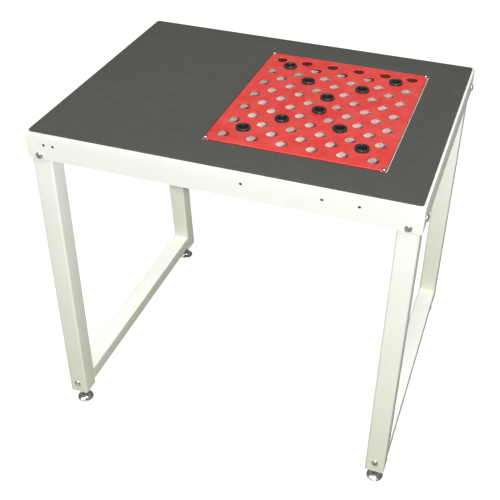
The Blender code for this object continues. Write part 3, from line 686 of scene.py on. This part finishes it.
def place_apron(shape, distance, height, turn):
    """Set a front panel out to its distance from the middle, and turn it to its side of the table."""
    bmesh.ops.translate(shape, vec=(0.0, -distance, height), verts=shape.verts)
    bmesh.ops.rotate(shape, cent=(0.0, 0.0, 0.0), matrix=Matrix.Rotation(turn, 3, "Z"), verts=shape.verts)


def add_bolt_bore(shape, node, axis):
    """The bore for a straight bolt, along its own box."""
    low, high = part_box(node)
    middle = (low + high) / 2
    start = middle.copy()
    end = middle.copy()
    start[axis] = low[axis] - FIT
    end[axis] = high[axis] + FIT
    add_cylinder(shape, BOLT_SHANK + FIT, start, end, BORE_SIDES)


# ---------------------------------------------------------------- the fixture plate and its tray

def hole_places():
    """The plate's main grid of holes, and a second grid half a pitch between."""
    low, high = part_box("fixture_plate")
    middle = (low + high) / 2
    places = []
    for columns, rows in ((HOLE_COLUMNS, HOLE_ROWS), (HOLE_COLUMNS - 1, HOLE_ROWS - 1)):
        for column in range(columns):
            for row in range(rows):
                x = middle.x + (column - (columns - 1) / 2) * HOLE_PITCH
                y = middle.y + (row - (rows - 1) / 2) * HOLE_PITCH
                places.append((x, y))
    return places


def add_screw_bores(shape, radius, bottom, top):
    for corner, _, _ in CORNERS:
        low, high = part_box(f"{corner}_plate_screw")
        middle = (low + high) / 2
        add_cylinder(shape, radius, (middle.x, middle.y, bottom), (middle.x, middle.y, top), BORE_SIDES)


def make_fixture_plate():
    low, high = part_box("fixture_plate")
    shape = box_shape(low, high)
    bevel(shape, edges_along(shape, 2), PLATE_CORNER, 3)
    bevel(shape, top_rim(shape, high.z), PLATE_EDGE, 4)
    wall = Vector((SHEET, SHEET, 0.0))
    under = high.z - PLATE_SHEET
    shape = cut(shape, box_shape((low.x + wall.x, low.y + wall.y, low.z - SHEET),
                                 (high.x - wall.x, high.y - wall.y, under)))
    notch = POST_SIZE + 2 * FIT
    notches = bmesh.new()
    for x in (low.x, high.x):
        for y in (low.y, high.y):
            add_box(notches, (x - notch, y - notch, low.z - SHEET), (x + notch, y + notch, under))
    shape = cut(shape, notches)
    score_between_holes(shape)
    holes = bmesh.new()
    punch = punch_mesh(under, high.z)
    for x, y in hole_places():
        known = set(holes.verts)
        holes.from_mesh(punch)
        added = [vertex for vertex in holes.verts if vertex not in known]
        bmesh.ops.translate(holes, vec=(x, y, 0.0), verts=added)
    bpy.data.meshes.remove(punch)
    add_screw_bores(holes, PLATE_SCREW_SHANK + FIT, under - PLATE_SHEET, high.z + PLATE_SHEET)
    plate = finish_piece("fixture_plate_panel", cut(shape, holes), RED, "table",
                         "fixture_plate", edge=None)
    weigh_normals(plate)


def score_between_holes(shape):
    """Divide the plate's flat faces along lines that run midway between the holes."""
    low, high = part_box("fixture_plate")
    middle = (low + high) / 2
    for axis, count in ((0, HOLE_COLUMNS), (1, HOLE_ROWS)):
        normal = Vector((0.0, 0.0, 0.0))
        normal[axis] = 1.0
        for step in range(-count, count):
            place = middle.copy()
            place[axis] += (step + 0.5) * HOLE_PITCH / 2
            bmesh.ops.bisect_plane(shape, geom=shape.verts[:] + shape.edges[:] + shape.faces[:], dist=1e-7,
                                   plane_co=place, plane_no=normal)


def punch_mesh(under, top):
    """The tool that cuts one hole: a shaft whose upper end flares to round the hole's rim."""
    profile = [(0.0, top + PLATE_SHEET), (HOLE_RADIUS + HOLE_FLARE, top + PLATE_SHEET)]
    profile += arc((HOLE_RADIUS + HOLE_FLARE, top - HOLE_FLARE), HOLE_FLARE, 90.0, 180.0, 4)
    profile += [(HOLE_RADIUS, under - PLATE_SHEET), (0.0, under - PLATE_SHEET)]
    shape = turned_shape(profile, HOLE_SIDES)
    mesh = bpy.data.meshes.new("punch")
    shape.to_mesh(mesh)
    shape.free()
    return mesh


def weigh_normals(piece):
    """Keep broad flat faces flat where they run into rounded rims."""
    weighted = piece.modifiers.new("flat_faces_stay_flat", "WEIGHTED_NORMAL")
    weighted.keep_sharp = True
    weighted.weight = 100


def make_tray():
    low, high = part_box("plate_tray")
    pan_low, pan_high = tray_pan()
    lip_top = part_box("deck_sheet")[0].z - FIT
    pan = box_shape(pan_low, pan_high)
    lip = box_shape((low.x, low.y, lip_top - TRAY_WALL), (high.x, high.y, lip_top))
    shape = join(pan, lip)
    wall = Vector((TRAY_WALL, TRAY_WALL, TRAY_WALL))
    inner_low = pan_low + wall
    inner_high = pan_high - wall
    top = high.z + TRAY_WALL
    along = box_shape((inner_low.x, inner_low.y + POST_SIZE, inner_low.z),
                      (inner_high.x, inner_high.y - POST_SIZE, top))
    across = box_shape((inner_low.x + POST_SIZE, inner_low.y, inner_low.z),
                       (inner_high.x - POST_SIZE, inner_high.y, top))
    shape = cut(shape, join(along, across))
    rim_top = high.z - TRAY_RIM_DROP
    shape = cut(shape, box_shape((low.x - TRAY_WALL, low.y - TRAY_WALL, rim_top),
                                 (high.x + TRAY_WALL, high.y + TRAY_WALL, top + TRAY_WALL)))
    post_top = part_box("fixture_plate")[1].z - PLATE_SHEET - FIT
    shape = cut(shape, box_shape((inner_low.x, inner_low.y, post_top), (inner_high.x, inner_high.y, top)))
    bores = bmesh.new()
    add_screw_bores(bores, PLATE_SCREW_SHANK + FIT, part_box("front_left_plate_screw")[0].z - FIT, top)
    finish_piece("plate_tray_pan", cut(shape, bores), TRAY_WHITE, "table", "plate_tray",
                 edge=0.0009)


# ---------------------------------------------------------------- the side frames

def bar_between(low, high, radius):
    """A bar along Y with rounded long edges."""
    shape = box_shape(low, high)
    bevel(shape, edges_along(shape, 1), radius, 6)
    return shape


def tilted_rail_bore(corner, end):
    """The bore for a long bolt, square to the leg's leaning face."""
    seat, direction = rail_bolt_place(corner, end)
    shape = bmesh.new()
    add_cylinder(shape, BOLT_SHANK + FIT, seat + direction * TUBE_WALL,
                 seat - direction * (RAIL_BOLT_LENGTH + 0.0005), BORE_SIDES)
    return shape


def rail_bolt_place(corner, end):
    """Where a long bolt's head sits on the leg's leaning face, and the way that it points."""
    side_name = corner.split("_")[1]
    rail_low, rail_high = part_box(f"{side_name}_bottom_rail")
    leg_low, leg_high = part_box(f"{corner}_leg")
    height = (rail_low.z + rail_high.z) / 2
    outer = leg_line(corner, end) - math.tan(LEAN) * height + (leg_high.x - leg_low.x) / 2
    direction = Vector((0.0, end * math.cos(LEAN), math.sin(LEAN)))
    seat = Vector(((leg_low.x + leg_high.x) / 2, end * outer, height)) + direction * FIT
    return seat, direction


def make_legs():
    for corner, _, end in CORNERS:
        low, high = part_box(f"{corner}_leg")
        width = high.x - low.x
        at_floor = leg_line(corner, end)
        shape = box_shape((low.x, -width / 2, low.z), (high.x, width / 2, high.z))
        bevel(shape, edges_along(shape, 2), TUBE_RADIUS, 8)
        lean_out(shape.verts, end, at_floor)
        inner = width / 2 - TUBE_WALL
        bore = box_shape((low.x + TUBE_WALL, -inner, low.z - width),
                         (high.x - TUBE_WALL, inner, high.z + width))
        bevel(bore, edges_along(bore, 2), TUBE_RADIUS - TUBE_WALL, 5)
        lean_out(bore.verts, end, at_floor)
        shape = cut(shape, bore)
        for bolt, axis in ((f"{corner}_apron_bolt", 1), (f"{corner}_side_bolt", 0)):
            bolt_bore = bmesh.new()
            add_bolt_bore(bolt_bore, bolt, axis)
            shape = cut(shape, bolt_bore)
        shape = cut(shape, tilted_rail_bore(corner, end))
        finish_piece(f"{corner}_leg_tube", shape, WHITE, "table", f"{corner}_leg",
                     edge=0.0004)


def follow_legs(shape, side_name, gap):
    """Move a bar's ends to a gap from the legs' leaning inner faces, or past them if it is below zero."""
    for vertex in shape.verts:
        end = math.copysign(1.0, vertex.co.y)
        corner = f"{'front' if end < 0 else 'rear'}_{side_name}"
        low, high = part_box(f"{corner}_leg")
        reach = leg_line(corner, end) - math.tan(LEAN) * vertex.co.z - (high.x - low.x) / 2 - gap
        vertex.co.y = end * reach


def make_side_rails():
    for side_name, side in SIDES:
        for level, end_gap in (("bottom", 0.006), ("top", -0.05)):
            node = f"{side_name}_{level}_rail"
            low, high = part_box(node)
            shape = bar_between(low, high, RAIL_RADIUS)
            follow_legs(shape, side_name, FIT)
            wall = Vector((TUBE_WALL, 0.0, TUBE_WALL))
            bore = bar_between(low + wall, high - wall, RAIL_RADIUS - TUBE_WALL)
            follow_legs(bore, side_name, end_gap)
            shape = cut(shape, bore)
            if level == "bottom":
                for corner, corner_side, end in CORNERS:
                    if corner_side == side:
                        shape = cut(shape, tilted_rail_bore(corner, end))
            finish_piece(f"{node}_tube", shape, WHITE, "table", node, edge=0.0004)


def make_cross_rails():
    for end_name, _ in ENDS:
        node = f"{end_name}_cross_rail"
        low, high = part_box(node)
        shape = box_shape(low, high)
        bevel(shape, edges_along(shape, 0), 0.003, 6)
        wall = Vector((-TUBE_WALL, SHEET, SHEET))
        bore = box_shape(low + wall, high - wall)
        bevel(bore, edges_along(bore, 0), 0.001, 3)
        shape = cut(shape, bore)
        finish_piece(f"{node}_tube", shape, WHITE, "table", node, edge=0.0004)


# ---------------------------------------------------------------- screws

def screw_shape(head, shank_radius, length):
    """A domed screw with a hexagon socket: the head above Z = 0, the threaded shank below."""
    head_radius, head_height, socket_radius, socket_depth = head
    edge_height = head_height * 0.22
    profile = [(0.0, head_height)]
    dome_start = head_radius * 0.52
    for step in range(9):
        angle = math.radians(90.0 * step / 8)
        profile.append((dome_start + (head_radius - dome_start) * math.sin(angle),
                        edge_height + (head_height - edge_height) * math.cos(angle)))
    profile += [(head_radius, 0.0004), (head_radius - 0.0004, 0.0), (shank_radius, 0.0)]
    profile += thread_profile(shank_radius, -0.0015, -length + 0.001)
    profile += [(shank_radius - 0.001, -length), (0.0, -length)]
    shape = turned_shape(profile, TURNED_SIDES)
    socket = bmesh.new()
    add_cylinder(socket, socket_radius, (0.0, 0.0, head_height - socket_depth),
                 (0.0, 0.0, 2 * head_height), 6)
    return cut(shape, socket)


def thread_profile(radius, top, bottom):
    """Ridges down a shank, from a top to a bottom height."""
    turns = max(1, int((top - bottom) / THREAD_PITCH))
    pitch = (top - bottom) / turns
    points = [(radius, top)]
    for turn in range(turns):
        start = top - turn * pitch
        points += [(radius - THREAD_DEPTH, start - pitch * 0.45),
                   (radius - THREAD_DEPTH, start - pitch * 0.55),
                   (radius, start - pitch * 0.95), (radius, start - pitch)]
    return points


def place_screw(name, node, shape, seat, direction):
    turn = direction.to_track_quat("Z", "Y").to_matrix()
    bmesh.ops.rotate(shape, cent=(0.0, 0.0, 0.0), matrix=turn, verts=shape.verts)
    bmesh.ops.translate(shape, vec=seat, verts=shape.verts)
    finish_piece(name, shape, PLATED, "table", node, edge=0.00015)


def make_screws():
    up = Vector((0.0, 0.0, 1.0))
    for corner, side, end in CORNERS:
        for kind, axis, sign in (("apron_bolt", 1, end), ("side_bolt", 0, side)):
            node = f"{corner}_{kind}"
            low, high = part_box(node)
            seat = (low + high) / 2
            outer = high[axis] if sign > 0 else low[axis]
            seat[axis] = outer - sign * BOLT_HEAD[1]
            direction = Vector((0.0, 0.0, 0.0))
            direction[axis] = sign
            length = high[axis] - low[axis] - BOLT_HEAD[1]
            place_screw(f"{node}_domed", node, screw_shape(BOLT_HEAD, BOLT_SHANK, length), seat, direction)
        seat, direction = rail_bolt_place(corner, end)
        node = f"{corner}_rail_bolt"
        shape = screw_shape(BOLT_HEAD, BOLT_SHANK, RAIL_BOLT_LENGTH)
        place_screw(f"{node}_domed", node, shape, seat, direction)
        node = f"{corner}_plate_screw"
        low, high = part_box(node)
        seat = (low + high) / 2
        seat.z = high.z - PLATE_SCREW_HEAD[1]
        length = high.z - low.z - PLATE_SCREW_HEAD[1]
        shape = screw_shape(PLATE_SCREW_HEAD, PLATE_SCREW_SHANK, length)
        place_screw(f"{node}_domed", node, shape, seat, up)


# ---------------------------------------------------------------- bushings

def make_bushings():
    bushings = [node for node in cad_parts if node.startswith("bushing_")]
    for node in sorted(bushings):
        low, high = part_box(node)
        middle = (low + high) / 2
        collar = (high.x - low.x) / 2
        body = HOLE_RADIUS - FIT
        bore = body - BUSHING_WALL
        top = high.z - low.z
        step = top - COLLAR_HEIGHT
        profile = [(bore, 0.0008), (bore + 0.0008, 0.0), (body - 0.0012, 0.0), (body, 0.0012),
                   (body, step - 0.0010), (body - 0.0005, step - 0.0006), (body - 0.0005, step),
                   (collar - 0.0004, step), (collar, step + 0.0004)]
        profile += arc((collar - 0.0014, top - 0.0014), 0.0014, 0.0, 90.0, 5)
        profile += arc((bore + 0.0012, top - 0.0012), 0.0012, 90.0, 180.0, 4)
        shape = turned_shape(profile, 64, closed=True)
        bmesh.ops.translate(shape, vec=(middle.x, middle.y, low.z), verts=shape.verts)
        finish_piece(f"{node}_sleeve", shape, BLACK, node, node, edge=None)


# ---------------------------------------------------------------- levelling feet

def hexagon_shape(radius, bottom, top):
    """A hexagonal block whose corners are turned down by a chamfer above and below."""
    prism = bmesh.new()
    add_cylinder(prism, radius, (0.0, 0.0, bottom), (0.0, 0.0, top), 6)
    bmesh.ops.rotate(prism, cent=(0.0, 0.0, 0.0), matrix=Matrix.Rotation(math.radians(30.0), 3, "Z"),
                     verts=prism.verts)
    fall = radius * 0.075
    flat = radius * math.cos(math.radians(30.0)) - 0.0002
    turned = turned_shape([(0.0, bottom), (flat, bottom), (radius + 0.0002, bottom + fall),
                           (radius + 0.0002, top - fall), (flat, top), (0.0, top)], TURNED_SIDES)
    return common(prism, turned)


def make_feet():
    for corner, _, end in CORNERS:
        pad_low, pad_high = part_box(f"{corner}_foot_pad")
        centre = (pad_low + pad_high) / 2
        make_pad(corner, centre, (pad_high.x - pad_low.x) / 2, pad_high.z)
        make_stem(corner, centre)
        make_lock_nut(corner, centre)
        make_insert(corner, centre, end)


def set_on_foot(shape, centre):
    bmesh.ops.translate(shape, vec=(centre.x, centre.y, 0.0), verts=shape.verts)


def make_pad(corner, centre, radius, height):
    """A pressed and plated pad: flat rim, hollow curve up to the neck, and a socket for the stem."""
    socket = STEM_RADIUS + FIT
    neck = PAD_NECK_RADIUS
    profile = [(0.0, PAD_SOCKET_FLOOR), (socket, PAD_SOCKET_FLOOR), (socket, height - 0.0005),
               (socket + 0.0005, height)]
    profile += arc((neck - 0.001, height - 0.001), 0.001, 90.0, 0.0, 4)
    for step in range(1, SLOPE_STEPS):
        share = step / SLOPE_STEPS
        drop = (PAD_NECK_FOOT - PAD_RIM_TOP) * share ** 0.62
        profile.append((neck + (radius - 0.0012 - neck) * share, PAD_NECK_FOOT - drop))
    profile += arc((radius - 0.0012, 0.0028), 0.0012, 90.0, 0.0, 5)
    profile += arc((radius - 0.0008, 0.0008), 0.0008, 0.0, -90.0, 4)
    profile += [(radius - 0.003, 0.0), (0.0, 0.0)]
    shape = turned_shape(profile, 72)
    set_on_foot(shape, centre)
    finish_piece(f"{corner}_foot_pad_pressed", shape, PLATED, f"{corner}_foot_pad",
                 f"{corner}_foot_pad", edge=None)


def make_stem(corner, centre):
    low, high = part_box(f"{corner}_foot_stem")
    profile = [(0.0, high.z), (STEM_RADIUS - 0.001, high.z)]
    profile += thread_profile(STEM_RADIUS, high.z - 0.001, STEM_HEX_TOP - 0.001)
    profile += [(STEM_RADIUS, STEM_HEX_BOTTOM), (STEM_RADIUS, low.z + 0.001),
                (STEM_RADIUS - 0.001, low.z), (0.0, low.z)]
    shape = turned_shape(profile, FINE_SIDES)
    shape = join(shape, hexagon_shape(STEM_HEX_RADIUS, STEM_HEX_BOTTOM, STEM_HEX_TOP))
    set_on_foot(shape, centre)
    finish_piece(f"{corner}_foot_stem_threaded", shape, DARK_STEEL, f"{corner}_foot_stem",
                 f"{corner}_foot_stem", edge=None)


def make_lock_nut(corner, centre):
    low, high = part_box(f"{corner}_lock_nut")
    shape = hexagon_shape(LOCK_NUT_RADIUS, low.z, high.z)
    bore = bmesh.new()
    add_cylinder(bore, STEM_RADIUS + FIT, (0.0, 0.0, low.z - 0.01), (0.0, 0.0, high.z + 0.01), FINE_SIDES)
    shape = cut(shape, bore)
    set_on_foot(shape, centre)
    finish_piece(f"{corner}_lock_nut_hex", shape, DARK_STEEL, "table",
                 f"{corner}_lock_nut", edge=0.0002)


def make_insert(corner, centre, end):
    low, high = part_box(f"{corner}_leg_insert")
    width = high.x - low.x
    shape = box_shape((low.x, -width / 2, low.z), (high.x, width / 2, high.z))
    bevel(shape, edges_along(shape, 2), TUBE_RADIUS - TUBE_WALL, 5)
    lean_out(shape.verts, end, leg_line(corner, end))
    bore = bmesh.new()
    add_cylinder(bore, STEM_RADIUS + FIT, (centre.x, centre.y, low.z - 0.01),
                 (centre.x, centre.y, high.z + 0.01), FINE_SIDES)
    finish_piece(f"{corner}_leg_insert_cast", cut(shape, bore), CAST, "table",
                 f"{corner}_leg_insert", edge=0.0006)


# ---------------------------------------------------------------- camera, light and floor

CAMERA_PLACE = (0.6004, -1.7173, 1.7644)
CAMERA_AZIMUTH = math.radians(17.167)
CAMERA_ELEVATION = math.radians(38.921)
CAMERA_ROLL = math.radians(1.4277)
CAMERA_LENS = 58.35
CAMERA_SHIFT = (-0.08, 0.05)
LAMP_PLACE = (0.82, -1.72, 1.77)
LAMP_RADIUS = 0.05
LAMP_POWER = 38.0
WORLD_LIGHT = 0.17
WORLD_IN_METAL = 0.16
FLOOR_GLOW = 0.93
FLOOR_SIZE = 12.0


def make_camera():
    """Look at the table from its front right, above, through a slightly shifted lens."""
    azimuth = CAMERA_AZIMUTH
    elevation = CAMERA_ELEVATION
    roll = CAMERA_ROLL
    back = Vector((math.sin(azimuth) * math.cos(elevation), -math.cos(azimuth) * math.cos(elevation),
                   math.sin(elevation)))
    right = Vector((0.0, 0.0, 1.0)).cross(back).normalized()
    up = back.cross(right)
    across = math.cos(roll) * right + math.sin(roll) * up
    above = -math.sin(roll) * right + math.cos(roll) * up
    camera = bpy.data.objects.new("studio_camera", bpy.data.cameras.new("studio_camera"))
    turn = Matrix((across, above, back)).transposed()
    camera.matrix_world = Matrix.Translation(CAMERA_PLACE) @ turn.to_4x4()
    camera.data.lens = CAMERA_LENS
    camera.data.sensor_width = 36.0
    camera.data.shift_x, camera.data.shift_y = CAMERA_SHIFT
    camera.data.clip_end = 60.0
    bpy.context.scene.collection.objects.link(camera)
    bpy.context.scene.camera = camera


def add_sun(name, azimuth, elevation, strength, softness, colour):
    """A soft light from a direction: azimuth 0 is straight in front, positive is to the right."""
    light = bpy.data.lights.new(name, "SUN")
    light.energy = strength
    light.angle = math.radians(softness)
    light.color = colour
    lamp = bpy.data.objects.new(name, light)
    turn = math.radians(azimuth)
    tilt = math.radians(elevation)
    source = Vector((math.sin(turn) * math.cos(tilt), -math.cos(turn) * math.cos(tilt), math.sin(tilt)))
    lamp.rotation_euler = source.to_track_quat("Z", "Y").to_euler()
    bpy.context.scene.collection.objects.link(lamp)


def add_flash(name, place, radius, power, colour):
    """A small lamp beside the camera whose light doesn't fall off over the table's depth."""
    light = bpy.data.lights.new(name, "POINT")
    light.energy = power
    light.shadow_soft_size = radius
    light.color = colour
    light.use_nodes = True
    tree = light.node_tree
    even = add_node(tree, "ShaderNodeLightFalloff", None, {"Strength": 1.0}).outputs["Constant"]
    tree.links.new(even, tree.nodes["Emission"].inputs["Strength"])
    lamp = bpy.data.objects.new(name, light)
    lamp.location = place
    bpy.context.scene.collection.objects.link(lamp)


def make_world():
    """Even studio walls: white to the lens, dim as a light, and darker still in polished metal."""
    world = bpy.data.worlds.new("studio")
    world.use_nodes = True
    tree = world.node_tree
    background = tree.nodes["Background"]
    background.inputs["Color"].default_value = (1.0, 1.0, 0.985, 1.0)
    path = add_node(tree, "ShaderNodeLightPath").outputs
    seen = mix_values(tree, path["Is Camera Ray"], WORLD_IN_METAL, 1.0)
    tree.links.new(mix_values(tree, path["Is Diffuse Ray"], seen, WORLD_LIGHT), background.inputs["Strength"])
    bpy.context.scene.world = world


def make_floor():
    """A pale floor that the lens sees nearly white, and that throws back little light."""
    shape = bmesh.new()
    bmesh.ops.create_grid(shape, x_segments=1, y_segments=1, size=FLOOR_SIZE)
    floor = mesh_object("studio_floor", shape)
    material, tree, shader = new_material("pale_floor", Roughness=0.9, Specular_IOR_Level=0.0)
    cloud = effect(tree, "blotches", Blotches_per_metre=1.5)
    tree.links.new(tint(tree, cloud["Mask"], (0.24, 0.24, 0.235), (0.26, 0.26, 0.255)),
                   shader.inputs["Base Color"])
    path = add_node(tree, "ShaderNodeLightPath").outputs
    glow = mix_values(tree, path["Is Camera Ray"], 0.0, FLOOR_GLOW)
    white = add_node(tree, "ShaderNodeEmission", None, {"Color": (1.0, 1.0, 0.995, 1.0), "Strength": glow})
    bright = add_node(tree, "ShaderNodeAddShader")
    tree.links.new(shader.outputs["BSDF"], bright.inputs[0])
    tree.links.new(white.outputs["Emission"], bright.inputs[1])
    tree.links.new(bright.outputs["Shader"], tree.nodes["Material Output"].inputs["Surface"])
    floor.data.materials.append(material)


def make_studio():
    make_camera()
    make_world()
    make_floor()
    add_flash("key_light", LAMP_PLACE, LAMP_RADIUS, LAMP_POWER, (1.0, 1.0, 0.985))
    add_sun("overhead_fill", -30.0, 76.0, 2.2, 60.0, (1.0, 1.0, 1.0))
    bpy.context.scene.view_settings.view_transform = "Standard"


make_studio()
make_sheet("work_mat_sheet", "work_mat", MAT_CORNER, 0.0008, MAT)
make_sheet("deck_sheet_folded", "deck_sheet", DECK_CORNER, 0.0020, WHITE)
make_aprons()
make_hole_shade_discs()
make_fixture_plate()
make_tray()
make_legs()
make_side_rails()
make_cross_rails()
make_screws()
make_bushings()
make_feet()
